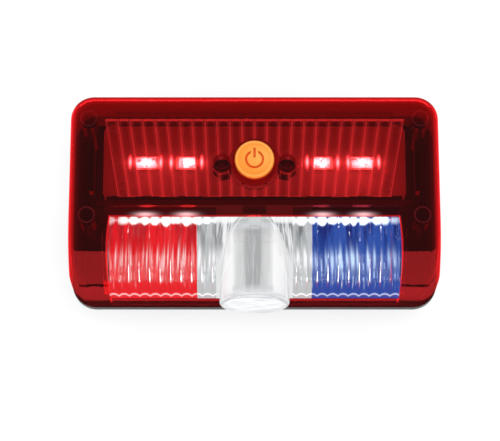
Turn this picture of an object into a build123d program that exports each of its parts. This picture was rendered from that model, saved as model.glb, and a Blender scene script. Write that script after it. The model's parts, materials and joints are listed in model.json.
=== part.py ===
"""Clip-on light: red shell with a fluted lens round its nose, torch bullet, top button,
two AAA cells in a black base, and a sprung clip underneath.

Millimetres. +Z is the lit top face, -Y the torch end (front), +X to the right.
Z = 0 is the flat outer face of the clip, X = 0 the plane of symmetry.
"""
from build123d import *
import math
import os

os.makedirs("parts", exist_ok=True)

CUT = Mode.SUBTRACT
SIDES = (("left", -1), ("right", 1))

# ---------------------------------------------------------------- dimensions
# body
BODY_W = 86.7            # over the red shell, X
BODY_FRONT = -23.5
BODY_REAR = 23.7
BODY_D = BODY_REAR - BODY_FRONT
BODY_YC = (BODY_REAR + BODY_FRONT) / 2
TOP = 34.5               # top face
SPLIT = 16.5             # joint between red shell and black base
FLOOR = 10.0             # underside of the black base
WALL = 1.8               # shell and base wall
CORNER_FRONT = 5.8       # plan corner radii
CORNER_REAR = 5.5
EDGE_R = 2.2             # rolled upper edge of the shell
BASE_R = 5.0             # rolled lower edge of the base

# quarter-round nose and its lens window
NOSE_R = 17.1
NOSE_Y = BODY_FRONT + NOSE_R
NOSE_Z = TOP - NOSE_R
WINDOW_X = 33.4          # half width of the window at its ends
WINDOW_BULGE = 34.2      # half width at its middle
WINDOW_MID_Y = -15.0
WINDOW_ANGLE = 73.5      # arc of the nose taken by the window
LENS_GAP = 0.06

# bullet over the torch
SPOT_R = 8.15
SPOT_Z = TOP - 8.2
SPOT_FRONT = -25.6
SPOT_BACK = -6.7
SPOT_BORE = 6.9          # bore radius

# button
BUTTON_Y = 7.5
BUTTON_D = 9.3
BUTTON_PROUD = 0.6
COLLAR_R = 5.4           # button collar and seal

# flat main board and upright front board
BOARD_TOP = TOP - 9.4
BOARD_T = 1.2
BOARD_BOTTOM = BOARD_TOP - BOARD_T
BOARD_X = 36.0
BOARD_Y0, BOARD_Y1 = -1.2, 19.0
SCREW_X = 7.65           # the two bosses beside the button
BOSS_R = 2.15
SPACER_H = 3.2           # rubber spacers under them
FBOARD_Y0, FBOARD_Y1 = -2.8, -1.6
FBOARD_Z0, FBOARD_Z1 = 16.9, TOP - 2.5
FBOARD_X = 37.0

# case screws
CASE_X = 39.0
CASE_REAR_Y, CASE_FRONT_Y = 17.8, -5.9
CASE_SCREWS = [(side * CASE_X, y) for y in (CASE_REAR_Y, CASE_FRONT_Y) for side in (-1, 1)]
CASE_SEAT_Z = 13.5       # upper face of the screw heads

# battery box
CELL_D = 10.5            # AAA cell
CELL_L = 44.5
CELL_Z = 17.5
CELLS = (("front", 5.0, 1), ("rear", 15.7, -1))  # name, y, side of the positive end
BOX_X = 24.5             # inner half length
BOX_WALL = 1.2
BOX_Y0, BOX_Y1 = -0.4, 21.0
BOX_FRONT = BOX_Y0 - 1.0
PLATE_T = 0.4            # contact plates
CONTACT_X = BOX_X - PLATE_T
CEILING = BOARD_BOTTOM - 0.9
CEILING_TOP = CEILING + 0.9
DOOR_X = 25.6            # battery door half width
DOOR_TONGUE = 1.0        # reach of its side tongues
DOOR_T = 1.6
DOOR_Y0 = BOX_Y0 - 0.1

# clip
PIN_Y, PIN_Z = -6.0, 5.4  # hinge
PIN_D = 3.0
PIN_X = 13.4             # half length of the pin
CLIP_SCREW_X = 7.0
CLIP_SCREW_Y = -13.0
BRACKET_T = 1.6
LEVER_X = 14.5
LEVER_T = 2.4
LEVER_Y0, LEVER_Y1 = -17.8, 25.6
COIL_R = 2.5             # torsion spring
COIL_L = 8.5
WIRE = 0.8
LEG = 4.5
SPRING_SIDE = -1         # end of the coil that carries the lower leg


# ------------------------------------------------------------------- helpers
def body_outline(plan, inset):
    """Body plan drawn in the open sketch `plan`."""
    with Locations((0, BODY_YC)):
        Rectangle(BODY_W - 2 * inset, BODY_D - 2 * inset)
    fillet(plan.vertices().group_by(Axis.Y)[0], CORNER_FRONT - inset)
    fillet(plan.vertices().group_by(Axis.Y)[-1], CORNER_REAR - inset)


def rounded_block(inset, z0, z1, low_r=0.0):
    """Body plan extruded from z0 to z1, lower edge rolled when asked."""
    with BuildPart() as body:
        with BuildSketch(Plane.XY.offset(z0)) as plan:
            body_outline(plan, inset)
        extrude(amount=z1 - z0)
        if low_r:
            fillet(body.edges().group_by(Axis.Z)[0], low_r)
    return body.part


def nose_point(radius, angle):
    """(y, z) at a radius from the nose axis, angle in degrees forward from the top."""
    turn = math.radians(angle)
    return NOSE_Y - radius * math.sin(turn), NOSE_Z + radius * math.cos(turn)


def on_rolled_rim(edge):
    """Upper edges, except upright lines and the cross lines of the nose."""
    if edge.center().Z <= NOSE_Z + 0.5:
        return False
    if edge.geom_type != GeomType.LINE:
        return True
    along = edge.tangent_at(0.5)
    return not (abs(along.Z) > 0.9 or (abs(along.X) > 0.9 and edge.center().Y < 0))


def nosed_block(inset, z0, edge_r):
    """Upper body: plan outline, flat top, quarter-round front."""
    top = TOP - inset
    front = BODY_FRONT + inset
    with BuildPart() as body:
        with BuildSketch(Plane.XY.offset(z0)) as plan:
            body_outline(plan, inset)
        extrude(amount=top - z0 + 1)
        with BuildSketch(Plane.YZ):
            with BuildLine():
                Polyline((front, NOSE_Z), (front, z0 - 1), (BODY_D, z0 - 1),
                         (BODY_D, top), (NOSE_Y, top))
                if edge_r:
                    # a spline here, so that the rolled edge can be filleted
                    Spline(*[nose_point(NOSE_R, angle) for angle in range(0, 91, 30)],
                           tangents=((-1, 0), (0, -1)))
                else:
                    CenterArc((NOSE_Y, NOSE_Z), NOSE_R - inset, 90, 90)
            make_face()
        extrude(amount=BODY_W, both=True, mode=Mode.INTERSECT)
        if edge_r:
            fillet([edge for edge in body.edges() if on_rolled_rim(edge)], edge_r)
    return body.part


def nose_sector(r_in, r_out, start, end, x0, x1):
    """Slice of a ring about the nose axis, start..end degrees down from the top."""
    with BuildSketch(Plane.YZ.offset(x0)) as face:
        with BuildLine():
            inner = CenterArc((NOSE_Y, NOSE_Z), r_in, 90 + start, end - start)
            outer = CenterArc((NOSE_Y, NOSE_Z), r_out, 90 + start, end - start)
            Line(inner @ 0, outer @ 0)
            Line(inner @ 1, outer @ 1)
        make_face()
    extrude(face.sketch, amount=x1 - x0)


def window_plan(grow):
    """Bulged plan limits of the window."""
    end_x, mid_x = WINDOW_X + grow, WINDOW_BULGE + grow
    y0, y1 = NOSE_Y + 1.0, BODY_FRONT - 4.0
    with BuildSketch(Plane.XY) as face:
        with BuildLine():
            right = ThreePointArc((end_x, y0), (mid_x, WINDOW_MID_Y), (end_x, y1))
            left = ThreePointArc((-end_x, y0), (-mid_x, WINDOW_MID_Y), (-end_x, y1))
            Line(right @ 0, left @ 0)
            Line(right @ 1, left @ 1)
        make_face()
    return face.sketch


def scallops(half, count, z, rise):
    """Row of arcs from -half to half in the open line; rise is signed."""
    pitch = 2 * half / count
    x = -half
    for _ in range(count):
        ThreePointArc((x, z), (x + pitch / 2, z + rise), (x + pitch, z))
        x += pitch


def y_cylinder(radius, y0, y1, z, x=0.0, mode=Mode.ADD):
    """Cylinder along Y from y0 (front) to y1 (rear)."""
    with BuildSketch(Plane.XZ.offset(-y1)) as face:
        with Locations((x, z)):
            Circle(radius)
    extrude(face.sketch, amount=y1 - y0, mode=mode)


def x_cylinder(radius, x0, x1, y, z, mode=Mode.ADD):
    with BuildSketch(Plane.YZ.offset(x0)) as face:
        with Locations((y, z)):
            Circle(radius)
    extrude(face.sketch, amount=x1 - x0, mode=mode)


def z_cylinder(radius, z0, z1, x, y, mode=Mode.ADD):
    with BuildSketch(Plane.XY.offset(z0)) as face:
        with Locations((x, y)):
            Circle(radius)
    extrude(face.sketch, amount=z1 - z0, mode=mode)


def block(x0, x1, y0, y1, z0, z1, mode=Mode.ADD, corner=0.0):
    with BuildSketch(Plane.XY.offset(z0)) as face:
        with Locations(((x0 + x1) / 2, (y0 + y1) / 2)):
            if corner:
                RectangleRounded(x1 - x0, y1 - y0, corner)
            else:
                Rectangle(x1 - x0, y1 - y0)
    extrude(face.sketch, amount=z1 - z0, mode=mode)


def mid_block(half, *limits, **options):
    """Block from x = -half to half; limits are y0, y1, z0, z1."""
    block(-half, half, *limits, **options)


def side_block(side, near, far, *limits, **options):
    """Block between two distances from X = 0, on side -1 or 1."""
    x0, x1 = sorted((side * near, side * far))
    block(x0, x1, *limits, **options)


def cross_recess(length, x, y, z, depth):
    with BuildSketch(Plane.XY.offset(z)) as face:
        with Locations((x, y)):
            Rectangle(length, 0.5)
            Rectangle(0.5, length)
    extrude(face.sketch, amount=depth, mode=CUT)


def save(piece, name):
    piece.part.label = name
    export_step(piece.part, "parts/" + name + ".step")


# ----------------------------------------------------------------- top shell
ROOF = TOP - 1.0         # hanging features run up into the shell wall
WEB_X = 42.4             # outer end of the boss webs
WINDOW_NEAR, WINDOW_FAR = 9.0, 30.0  # radii of the window cutter
with BuildPart() as top_shell:
    add(nosed_block(0.0, SPLIT, EDGE_R))
    add(nosed_block(WALL, SPLIT - 2.0, 0.0), mode=CUT)
    # four case-screw bosses with webs, two bosses beside the button
    for x, y in CASE_SCREWS:
        z_cylinder(2.0, SPLIT, ROOF, x, y)
        side_block(1 if x > 0 else -1, CASE_X, WEB_X, y - 0.5, y + 0.5, SPLIT + 2.0, ROOF)
    for x in (-SCREW_X, SCREW_X):
        z_cylinder(BOSS_R, BOARD_TOP + SPACER_H, ROOF, x, BUTTON_Y)
    # locating ribs down both sides and along the rear
    for side in (-1, 1):
        side_block(side, 37.6, 38.7, 0.4, 15.6, TOP - 6.0, ROOF)
    mid_block(33.0, 19.5, 20.4, TOP - 4.6, ROOF)
    # window for the front lens and the notch of the bullet
    with BuildPart(mode=Mode.PRIVATE) as window:
        with BuildSketch(Plane.YZ):
            with BuildLine():
                far = nose_point(WINDOW_FAR, WINDOW_ANGLE)
                near = nose_point(WINDOW_NEAR, WINDOW_ANGLE)
                Polyline((NOSE_Y, NOSE_Z + WINDOW_NEAR), (NOSE_Y, TOP + 4), (far[0], TOP + 4),
                         far, near, (NOSE_Y, NOSE_Z + WINDOW_NEAR))
            make_face()
        extrude(amount=50, both=True)
        extrude(window_plan(0.0), amount=60, mode=Mode.INTERSECT)
    add(window.part, mode=CUT)
    y_cylinder(SPOT_R + 0.1, -30.0, NOSE_Y, SPOT_Z, mode=CUT)
    # button hole, screw pilots
    z_cylinder(BUTTON_D / 2 + 0.07, TOP - 4.0, TOP + 2.0, 0.0, BUTTON_Y, mode=CUT)
    for x, y in CASE_SCREWS:
        z_cylinder(1.0, SPLIT - 0.5, SPLIT + 8.0, x, y, mode=CUT)
    for x in (-SCREW_X, SCREW_X):
        z_cylinder(0.9, BOARD_TOP - 0.5, BOARD_TOP + 5.0, x, BUTTON_Y, mode=CUT)
save(top_shell, "top_shell")

# ---------------------------------------------------------------- front lens
LENS_T = 1.9
LENS_FLUTES = 28
FLUTE_DEPTH = 0.75
FLANGE_IN, FLANGE_OUT = NOSE_R - 2.9, NOSE_R - WALL - 0.06
FLANGE_X, FLANGE_W = 35.4, 2.4
FLANGE_END = 78.5        # degrees down from the top
with BuildPart() as front_lens:
    with BuildSketch(Plane.XZ.offset(-NOSE_Y)):
        with BuildLine():
            base_z = NOSE_Z + NOSE_R - LENS_T
            Polyline((-WINDOW_BULGE, base_z), (-WINDOW_BULGE, TOP), (WINDOW_BULGE, TOP),
                     (WINDOW_BULGE, base_z))
            scallops(WINDOW_BULGE, LENS_FLUTES, base_z, -FLUTE_DEPTH)
        make_face()
    revolve(axis=Axis((0, NOSE_Y, NOSE_Z), (1, 0, 0)), revolution_arc=WINDOW_ANGLE - 0.25)
    # trim to the bulged window
    extrude(window_plan(-LENS_GAP), amount=60, mode=Mode.INTERSECT)
    with BuildSketch(Plane.XY):
        with Locations((0, NOSE_Y)):
            Rectangle(90, 2 * LENS_GAP)
    extrude(amount=60, mode=CUT)
    # inside flange that stops the lens falling outward
    for x0 in (-FLANGE_X, FLANGE_X - FLANGE_W):
        nose_sector(FLANGE_IN, FLANGE_OUT, 0.5, FLANGE_END, x0, x0 + FLANGE_W)
    nose_sector(FLANGE_IN, FLANGE_OUT, 72.6, FLANGE_END, -FLANGE_X, FLANGE_X)
    # bullet tube over the torch, closed at the front
    y_cylinder(SPOT_R, SPOT_FRONT, SPOT_BACK, SPOT_Z)
    fillet([edge for edge in front_lens.edges()
            if abs(edge.center().Y - SPOT_FRONT) < 0.01], 0.9)
    y_cylinder(SPOT_BORE, SPOT_FRONT + 1.7, SPOT_BACK + 4.0, SPOT_Z, mode=CUT)
save(front_lens, "front_lens")

# --------------------------------------------------- torch guide in the bullet
GUIDE_FRONT = -22.0
with BuildPart() as spot_guide:
    y_cylinder(SPOT_BORE - 0.05, -8.6, -7.2, SPOT_Z)
    y_cylinder(2.4, GUIDE_FRONT, -8.0, SPOT_Z)
    # ring of studs on the front end
    with BuildSketch(Plane.XZ.offset(-GUIDE_FRONT)):
        with Locations((0, SPOT_Z)):
            with PolarLocations(1.7, 8):
                Circle(0.42)
    extrude(amount=0.8)
    # recess for the torch emitter
    y_cylinder(2.0, -8.0, -7.0, SPOT_Z, mode=CUT)
save(spot_guide, "spot_guide")

# ------------------------- coloured and clear strips behind the front lens
STRIP_IN, STRIP_OUT = 3.35, 3.0  # depths below the outer face
STRIPS = (               # name, x0, x1
    ("colour_strip_red", -34.0, -13.45),
    ("colour_strip_blue", 13.45, 34.0),
    ("clear_strip_left", -13.35, -8.9),
    ("clear_strip_right", 8.9, 13.35),
)
for name, x0, x1 in STRIPS:
    with BuildPart() as strip:
        nose_sector(NOSE_R - STRIP_IN, NOSE_R - STRIP_OUT, 0.0, 89.0, x0, x1)
        block(x0, x1, NOSE_Y - 0.05, -3.2, TOP - STRIP_IN, TOP - STRIP_OUT)
    save(strip, name)

# ------------------------------------------------------- fluted upper diffuser
DIFFUSER_Z0, DIFFUSER_Z1 = TOP - 4.4, TOP - 3.2
DIFFUSER_ENDS = ((18.6, 35.4), (-0.6, 32.0))  # y, half width: rear, front
DIFFUSER_LEGS = ((-33.4, 16.6), (33.4, 16.6), (-31.2, 2.6), (31.2, 2.6))  # x, y
with BuildPart() as upper_lens:
    for y, half in DIFFUSER_ENDS:
        with BuildSketch(Plane.XZ.offset(-y)):
            with BuildLine():
                Polyline((-half, DIFFUSER_Z1), (-half, DIFFUSER_Z0), (half, DIFFUSER_Z0),
                         (half, DIFFUSER_Z1))
                scallops(half, 24, DIFFUSER_Z1, 0.5)
            make_face()
    loft(ruled=True)
    for x, y in DIFFUSER_LEGS:
        z_cylinder(1.1, BOARD_TOP, DIFFUSER_Z0 + 0.4, x, y)
    # room for the button and the two bosses
    for radius, x in ((6.2, 0.0), (2.3, -SCREW_X), (2.3, SCREW_X)):
        z_cylinder(radius, DIFFUSER_Z0 - 1, DIFFUSER_Z1 + 2, x, BUTTON_Y, mode=CUT)
save(upper_lens, "upper_lens")

# -------------------------------------------------------------------- boards
with BuildPart() as main_board:
    mid_block(BOARD_X, BOARD_Y0, BOARD_Y1, BOARD_BOTTOM, BOARD_TOP)
    for x in (-SCREW_X, SCREW_X):
        with Locations((x, BUTTON_Y, BOARD_TOP - BOARD_T / 2)):
            Cone(1.75, 1.05, BOARD_T, mode=CUT)
    fillet(main_board.edges().filter_by(Axis.Z).group_by(Axis.Y)[-1], 1.5)
save(main_board, "main_board")

with BuildPart() as front_board:
    mid_block(FBOARD_X, FBOARD_Y0, FBOARD_Y1, FBOARD_Z0, FBOARD_Z1)
save(front_board, "front_board")

# opaque strip behind the upright board, between the two light chambers
CHAMBER_X = 34.6         # half width of the baffle and the reflector
with BuildPart() as light_baffle:
    mid_block(CHAMBER_X, FBOARD_Y1 + 0.05, FBOARD_Y1 + 0.9, BOARD_TOP, FBOARD_Z1)
    # notches along the upper edge
    for k in range(-3, 4):
        block(k * 10.0 - 2.2, k * 10.0 + 2.2, FBOARD_Y1 + 0.5, FBOARD_Y1 + 1.5,
              FBOARD_Z1 - 0.5, FBOARD_Z1 + 0.5, mode=CUT)
save(light_baffle, "light_baffle")

# white trough under the front lens, with two dividing walls
REFLECTOR_Z0, REFLECTOR_Z1 = 16.6, 17.5
DIVIDER_X, DIVIDER_T = 13.4, 0.8
DIVIDER_DEPTH = 3.45     # below the outer face
DIVIDER_ANGLE = 76.0
DIVIDER_BACK = -4.7
with BuildPart() as front_reflector:
    mid_block(CHAMBER_X, BODY_FRONT + 3.2, -4.2, REFLECTOR_Z0, REFLECTOR_Z1)
    for x in (-DIVIDER_X, DIVIDER_X):
        with BuildSketch(Plane.YZ.offset(x - DIVIDER_T / 2)) as divider:
            with BuildLine():
                arc = CenterArc((NOSE_Y, NOSE_Z), NOSE_R - DIVIDER_DEPTH, 90, DIVIDER_ANGLE)
                Polyline(arc @ 1, ((arc @ 1).X, REFLECTOR_Z0), (DIVIDER_BACK, REFLECTOR_Z0),
                         (DIVIDER_BACK, TOP - DIVIDER_DEPTH), arc @ 0)
            make_face()
        extrude(divider.sketch, amount=DIVIDER_T)
save(front_reflector, "front_reflector")

# ------------------------------------------------------- parts on the boards
LED_HALF = 2.5           # half width of the LED bodies
LED_DOME_R = 2.1
for i, x in enumerate((-25.6, -16.0, 16.0, 25.6), start=1):
    with BuildPart() as led:
        block(x - LED_HALF, x + LED_HALF, 7.8, 11.0, BOARD_TOP, BOARD_TOP + 0.9)
        block(x - 2.1, x + 2.1, 8.2, 10.6, BOARD_TOP + 0.9, BOARD_TOP + 1.5)
    save(led, "upper_led_%d" % i)

FRONT_LED_Z = TOP - 9.0
for name, x in (("red_1", -25.3), ("red_2", -15.8), ("blue_1", 15.8), ("blue_2", 25.3)):
    with BuildPart() as led:
        block(x - LED_HALF, x + LED_HALF, FBOARD_Y0 - 1.0, FBOARD_Y0,
              FRONT_LED_Z - LED_HALF, FRONT_LED_Z + LED_HALF)
        y_cylinder(LED_DOME_R, FBOARD_Y0 - 1.7, FBOARD_Y0 - 0.9, FRONT_LED_Z, x=x)
    save(led, "front_led_" + name)

SPOT_LED_HALF, SPOT_LED_T = 2.6, 1.2
with BuildPart() as spot_led:
    mid_block(SPOT_LED_HALF, FBOARD_Y0 - SPOT_LED_T, FBOARD_Y0,
              SPOT_Z - SPOT_LED_HALF, SPOT_Z + SPOT_LED_HALF)
    with Locations((0, FBOARD_Y0 - SPOT_LED_T, SPOT_Z)):
        Sphere(1.9)
    # trim the ball flush with the board
    mid_block(3, FBOARD_Y0, FBOARD_Y0 + 3, SPOT_Z - 3, SPOT_Z + 3, mode=CUT)
save(spot_led, "spot_led")

RESISTOR_XS = (-32.3, -25.3, -18.5, -11.5, 12.2, 19.2, 26.3, 33.3)
for i, x in enumerate(RESISTOR_XS, start=1):
    with BuildPart() as chip:
        block(x - 1.6, x + 1.6, -0.2, 1.4, BOARD_TOP, BOARD_TOP + 0.6)
    save(chip, "resistor_%d" % i)

for name, side in SIDES:
    x = side * SCREW_X
    with BuildPart() as spacer:
        z_cylinder(BOSS_R, BOARD_TOP, BOARD_TOP + SPACER_H, x, BUTTON_Y)
        z_cylinder(0.95, BOARD_TOP - 1, BOARD_TOP + SPACER_H + 1, x, BUTTON_Y, mode=CUT)
    save(spacer, "board_spacer_" + name)

# pale ledge behind the flat board, on two legs
TRAY_T = 0.9
TRAY_Z = BOARD_TOP - TRAY_T
TRAY_LEG_X0, TRAY_LEG_X1 = 28, 30
with BuildPart() as rear_tray:
    add(rounded_block(WALL + 0.3, TRAY_Z, TRAY_Z + TRAY_T))
    mid_block(45, -30, 19.3, TRAY_Z - 1, TRAY_Z + 2, mode=CUT)
    for side in (-1, 1):
        z_cylinder(2.2, TRAY_Z - 1, TRAY_Z + 2, side * CASE_X, CASE_REAR_Y, mode=CUT)
    for side in (-1, 1):
        side_block(side, TRAY_LEG_X0, TRAY_LEG_X1, 17.6, 19.6, FLOOR + WALL + 0.2, TRAY_Z - 1.4)
        side_block(side, TRAY_LEG_X0, TRAY_LEG_X1, 19.1, 19.6, TRAY_Z - 3.0, TRAY_Z + 0.2)
save(rear_tray, "rear_tray")

# -------------------------------------------------------- switch and button
with BuildPart() as switch_body:
    mid_block(3.0, BUTTON_Y - 3.0, BUTTON_Y + 3.0, BOARD_TOP, BOARD_TOP + 3.5)
    z_cylinder(1.77, BOARD_TOP + 2.0, BOARD_TOP + 4, 0.0, BUTTON_Y, mode=CUT)
save(switch_body, "switch_body")

PLUNGER_TOP = BOARD_TOP + 4.4
with BuildPart() as switch_plunger:
    z_cylinder(1.7, BOARD_TOP + 2.9, PLUNGER_TOP, 0.0, BUTTON_Y)
save(switch_plunger, "switch_plunger")

BUTTON_TOP = TOP + BUTTON_PROUD
with BuildPart() as power_button:
    z_cylinder(BUTTON_D / 2, TOP - 2.4, BUTTON_TOP, 0.0, BUTTON_Y)
    fillet(power_button.edges().group_by(Axis.Z)[-1], 0.45)
    z_cylinder(COLLAR_R, TOP - 3.4, TOP - 2.35, 0.0, BUTTON_Y)
    z_cylinder(1.8, PLUNGER_TOP, TOP - 3.0, 0.0, BUTTON_Y)
    # shallow dish and the power mark: a ring broken by a bar
    z_cylinder(3.9, BUTTON_TOP - 0.15, BUTTON_TOP + 1, 0.0, BUTTON_Y, mode=CUT)
    with BuildSketch(Plane.XY.offset(BUTTON_TOP - 0.5)):
        with Locations((0, BUTTON_Y)):
            Circle(2.25)
            Circle(1.7, mode=CUT)
        with Locations((0, BUTTON_Y + 2.1)):
            Rectangle(1.7, 2.0, mode=CUT)
        with Locations((0, BUTTON_Y + 1.6)):
            Rectangle(0.55, 2.4)
    extrude(amount=1.0, mode=CUT)
save(power_button, "power_button")

with BuildPart() as button_seal:
    z_cylinder(COLLAR_R, TOP - 2.3, TOP - WALL, 0.0, BUTTON_Y)
    z_cylinder(4.8, TOP - 3, TOP, 0.0, BUTTON_Y, mode=CUT)
save(button_seal, "button_seal")

for name, side in SIDES:
    x = side * SCREW_X
    with BuildPart() as screw:
        with Locations((x, BUTTON_Y, BOARD_TOP - BOARD_T / 2)):
            Cone(1.70, 1.00, BOARD_T)
        z_cylinder(0.88, BOARD_TOP - 0.1, BOARD_TOP + 4.6, x, BUTTON_Y)
        z_cylinder(0.5, BOARD_BOTTOM - 1, BOARD_BOTTOM + 0.6, x, BUTTON_Y, mode=CUT)
    save(screw, "board_screw_" + name)

# -------------------------------------------------------------- base housing
INNER_FLOOR = FLOOR + 1.0  # inner features start inside the floor
GASKET_OUT, GASKET_IN = 0.5, 1.3  # insets of the gasket and its groove
BOX_OUT = BOX_X + BOX_WALL
with BuildPart() as base_housing:
    add(rounded_block(0.0, FLOOR, SPLIT, BASE_R))
    add(rounded_block(WALL, FLOOR + WALL, SPLIT + 5.0, BASE_R - WALL), mode=CUT)
    # tongue that enters the red shell, cut away at the bosses and their webs
    with BuildPart(mode=Mode.PRIVATE) as tongue:
        add(rounded_block(WALL + 0.1, SPLIT - 1.5, SPLIT + 1.2))
        add(rounded_block(WALL + 1.2, SPLIT - 2.5, SPLIT + 2.2), mode=CUT)
        for x, y in CASE_SCREWS:
            z_cylinder(2.15, SPLIT, SPLIT + 4, x, y, mode=CUT)
            side_block(1 if x > 0 else -1, CASE_X, 43, y - 0.7, y + 0.7, SPLIT, SPLIT + 4,
                       mode=CUT)
        # the rear cell lies against the rear wall
        mid_block(BOX_X + 0.5, 19.0, 22.0, SPLIT - 2.0, SPLIT + 2.0, mode=CUT)
    add(tongue.part)
    # battery box: end walls, front wall, ceiling
    for side in (-1, 1):
        side_block(side, BOX_X, BOX_OUT, BOX_FRONT, BOX_Y1 - 0.06, INNER_FLOOR, CEILING_TOP)
    mid_block(BOX_OUT, BOX_FRONT, BOX_Y0, INNER_FLOOR, CEILING_TOP)
    mid_block(BOX_OUT, BOX_FRONT, BOX_Y1 - 1.8, CEILING + 0.1, CEILING_TOP)
    # side walls that carry the ends of the main board, end rails of the front board
    for side in (-1, 1):
        side_block(side, 36.2, 37.3, -0.4, 15.4, INNER_FLOOR, TOP - 7.0)
        side_block(side, 34.6, 36.7, 1.0, 14.5, INNER_FLOOR, BOARD_BOTTOM)
        side_block(side, 35.2, 38.6, -3.7, -0.4, INNER_FLOOR, TOP - 2.3)
    # slot for the front board
    mid_block(FBOARD_X + 0.1, FBOARD_Y0 - 0.05, FBOARD_Y1 + 0.05, FBOARD_Z0, TOP, mode=CUT)
    # the main board passes between the rails
    for side in (-1, 1):
        side_block(side, 34.0, 36.15, -1.3, 0.0, BOARD_BOTTOM, BOARD_TOP + 0.2, mode=CUT)
    # posts for the case screws, bosses for the clip screws
    for x, y in CASE_SCREWS:
        z_cylinder(2.8, INNER_FLOOR, SPLIT, x, y)
    for x in (-CLIP_SCREW_X, CLIP_SCREW_X):
        z_cylinder(2.6, INNER_FLOOR, 16.0, x, CLIP_SCREW_Y)
    # battery door opening with its side grooves, open to the rear
    mid_block(DOOR_X + 0.1, BOX_Y0 - 0.2, 30.0, FLOOR - 1.0, FLOOR + DOOR_T + 0.1, mode=CUT)
    mid_block(DOOR_X + DOOR_TONGUE + 0.1, BOX_Y0 - 0.2, 30.0, FLOOR + 0.5, FLOOR + 1.4,
              mode=CUT)
    mid_block(BOX_X, BOX_Y0, BOX_Y1 - 2.2, FLOOR + 0.5, FLOOR + 4.0, mode=CUT)
    # screw holes, with counterbores for the case screws
    for x, y in CASE_SCREWS:
        z_cylinder(1.1, FLOOR - 1.0, SPLIT + 1, x, y, mode=CUT)
        z_cylinder(2.0, FLOOR - 1.0, CASE_SEAT_Z, x, y, mode=CUT)
    for x in (-CLIP_SCREW_X, CLIP_SCREW_X):
        z_cylinder(1.1, FLOOR - 1.0, 15.0, x, CLIP_SCREW_Y, mode=CUT)
    # groove for the case gasket
    with BuildPart(mode=Mode.PRIVATE) as groove:
        add(rounded_block(GASKET_OUT, SPLIT - 0.5, SPLIT + 0.5))
        add(rounded_block(GASKET_IN, SPLIT - 1.0, SPLIT + 1.0), mode=CUT)
    add(groove.part, mode=CUT)
save(base_housing, "base_housing")

with BuildPart() as case_gasket:
    add(rounded_block(GASKET_OUT, SPLIT - 0.5, SPLIT))
    add(rounded_block(GASKET_IN, SPLIT - 1.0, SPLIT + 1.0), mode=CUT)
save(case_gasket, "case_gasket")

for i, (x, y) in enumerate(CASE_SCREWS, start=1):
    with BuildPart() as screw:
        z_cylinder(1.85, CASE_SEAT_Z - 1.3, CASE_SEAT_Z, x, y)
        z_cylinder(0.97, CASE_SEAT_Z - 0.1, 22.0, x, y)
        cross_recess(2.4, x, y, CASE_SEAT_Z - 1.5, 0.9)
    save(screw, "case_screw_%d" % i)

# ---------------------------------------------------------- cells and contacts
for name, y, side in CELLS:
    with BuildPart() as cell:
        x0, x1 = sorted((side * (CONTACT_X - CELL_L), side * (CONTACT_X - 0.8)))
        x_cylinder(CELL_D / 2, x0, x1, y, CELL_Z)
        fillet(cell.edges().filter_by(GeomType.CIRCLE), 0.5)
        # positive nub
        x0, x1 = sorted((side * (CONTACT_X - 1.2), side * CONTACT_X))
        x_cylinder(1.9, x0, x1, y, CELL_Z)
    save(cell, "cell_" + name)

# springs at the negative ends
CONTACT_COIL_L = 3.0
for name, y, positive_side in CELLS:
    side = -positive_side
    turns = Helix(pitch=0.85, height=CONTACT_COIL_L, radius=3.0)
    with BuildPart() as coil:
        with BuildLine():
            add(turns)
        with BuildSketch(Plane(origin=turns @ 0, z_dir=turns % 0)):
            Circle(0.3)
        sweep()
    coil_part = coil.part.rotate(Axis.Y, 90 * side)
    coil_x = side * (CONTACT_X - 0.33 - CONTACT_COIL_L)
    coil_part = coil_part.moved(Location((coil_x, y, CELL_Z)))
    with BuildPart() as contact_spring:
        add(coil_part)
    save(contact_spring, "contact_spring_" + name)

PLATES = (               # name, side, y0, y1
    ("link", 1, 1.0, 19.7),
    ("negative", -1, 1.0, 9.2),
    ("positive", -1, 11.5, 19.7),
)
for name, side, y0, y1 in PLATES:
    with BuildPart() as plate:
        side_block(side, CONTACT_X, BOX_X, y0, y1, 13.0, 22.6)
    save(plate, "contact_plate_" + name)

# -------------------------------------------------------------- battery door
with BuildPart() as battery_door:
    mid_block(DOOR_X, DOOR_Y0, 24.0, FLOOR, FLOOR + DOOR_T)
    mid_block(DOOR_X + DOOR_TONGUE, DOOR_Y0, 24.0, FLOOR + 0.6, FLOOR + 1.3)
    add(rounded_block(0.0, FLOOR, SPLIT, BASE_R), mode=Mode.INTERSECT)
    # finger grooves on the outside
    for x in (-19.5, 19.5):
        for k in range(5):
            y = 6.0 + 1.6 * k
            block(x - 3.5, x + 3.5, y, y + 0.7, FLOOR - 1, FLOOR + 0.4, mode=CUT)
save(battery_door, "battery_door")

# ---------------------------------------------------------------------- clip
EAR_R = 2.75             # bracket ears round the pin
EAR_X, EAR_W = 8.0, 2.4
with BuildPart() as clip_bracket:
    mid_block(14.0, -16.4, -2.2, FLOOR - BRACKET_T, FLOOR, corner=1.5)
    for x0 in (-EAR_X - EAR_W, EAR_X):
        with BuildSketch(Plane.YZ.offset(x0)):
            with BuildLine():
                Polyline((PIN_Y - EAR_R, PIN_Z), (PIN_Y - EAR_R, FLOOR - 1.0),
                         (PIN_Y + EAR_R, FLOOR - 1.0), (PIN_Y + EAR_R, PIN_Z))
                CenterArc((PIN_Y, PIN_Z), EAR_R, 180, 180)
            make_face()
        extrude(amount=EAR_W)
    x_cylinder(PIN_D / 2 + 0.05, -12, 12, PIN_Y, PIN_Z, mode=CUT)
    for x in (-CLIP_SCREW_X, CLIP_SCREW_X):
        with Locations((x, CLIP_SCREW_Y, FLOOR - BRACKET_T / 2)):
            Cone(2.15, 1.15, BRACKET_T, mode=CUT)
save(clip_bracket, "clip_bracket")

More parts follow.
